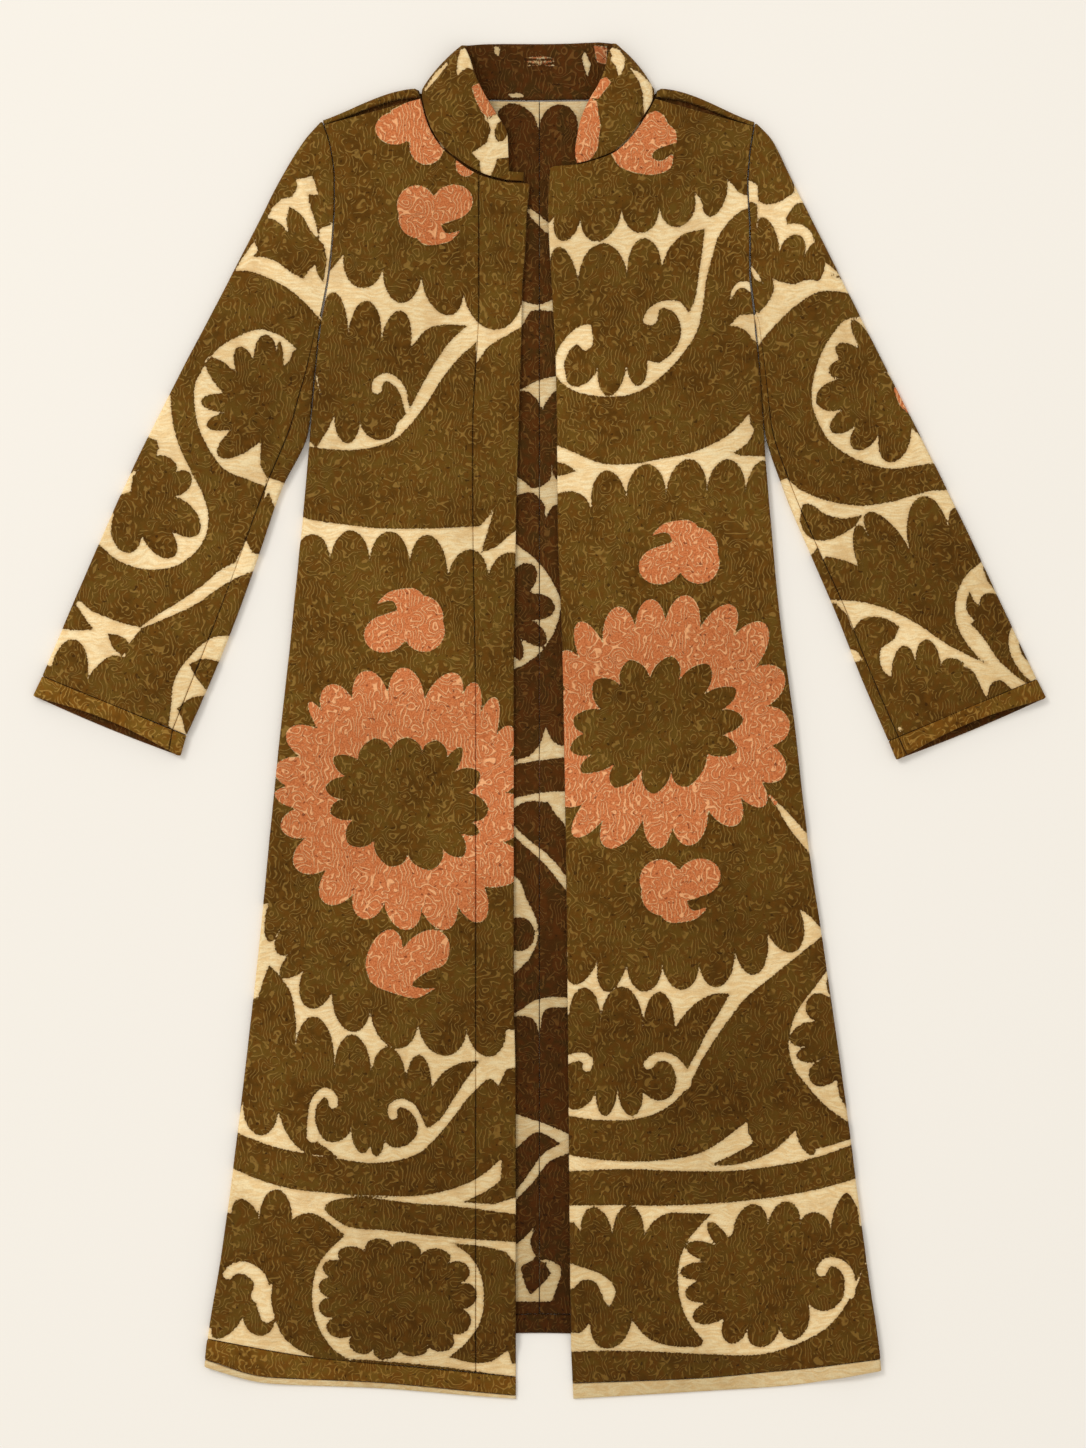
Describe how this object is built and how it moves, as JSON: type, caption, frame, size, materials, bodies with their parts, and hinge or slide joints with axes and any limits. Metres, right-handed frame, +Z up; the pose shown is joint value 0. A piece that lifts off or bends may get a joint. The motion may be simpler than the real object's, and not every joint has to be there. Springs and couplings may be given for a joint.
{
  "type": "kaftan",
  "caption": "Full-length open-fronted kaftan with a stand collar, long sleeves and narrow cuffs, laid flat on its back.",
  "frame": {"origin": "middle of the kaftan's box, on the surface that it lies on", "axes": "+X to the wearer's left, +Y from the hem to the collar, +Z up from the surface"},
  "size_m": [0.9704, 1.3013, 0.0232],
  "materials": {
    "embroidered_cloth": "close embroidery in olive brown and coral on cream cloth, matt",
    "inside_cloth": "the same cloth seen inside, darker and matt",
    "dark_band": "dark olive brown embroidered strip, matt",
    "cream_binding": "cream cotton, matt"
  },
  "bodies": {
    "root": {"back_right": "inside_cloth", "back_left": "inside_cloth", "back_hem": "inside_cloth", "front_right": "embroidered_cloth", "front_band_right": "embroidered_cloth", "front_left": "embroidered_cloth", "sleeve_right": "embroidered_cloth", "sleeve_left": "embroidered_cloth", "cuff_right": "dark_band", "cuff_left": "dark_band", "collar": "embroidered_cloth", "hem_band_right": "dark_band", "hem_binding_right": "cream_binding", "hem_binding_left": "cream_binding"}
  },
  "joints": []
}
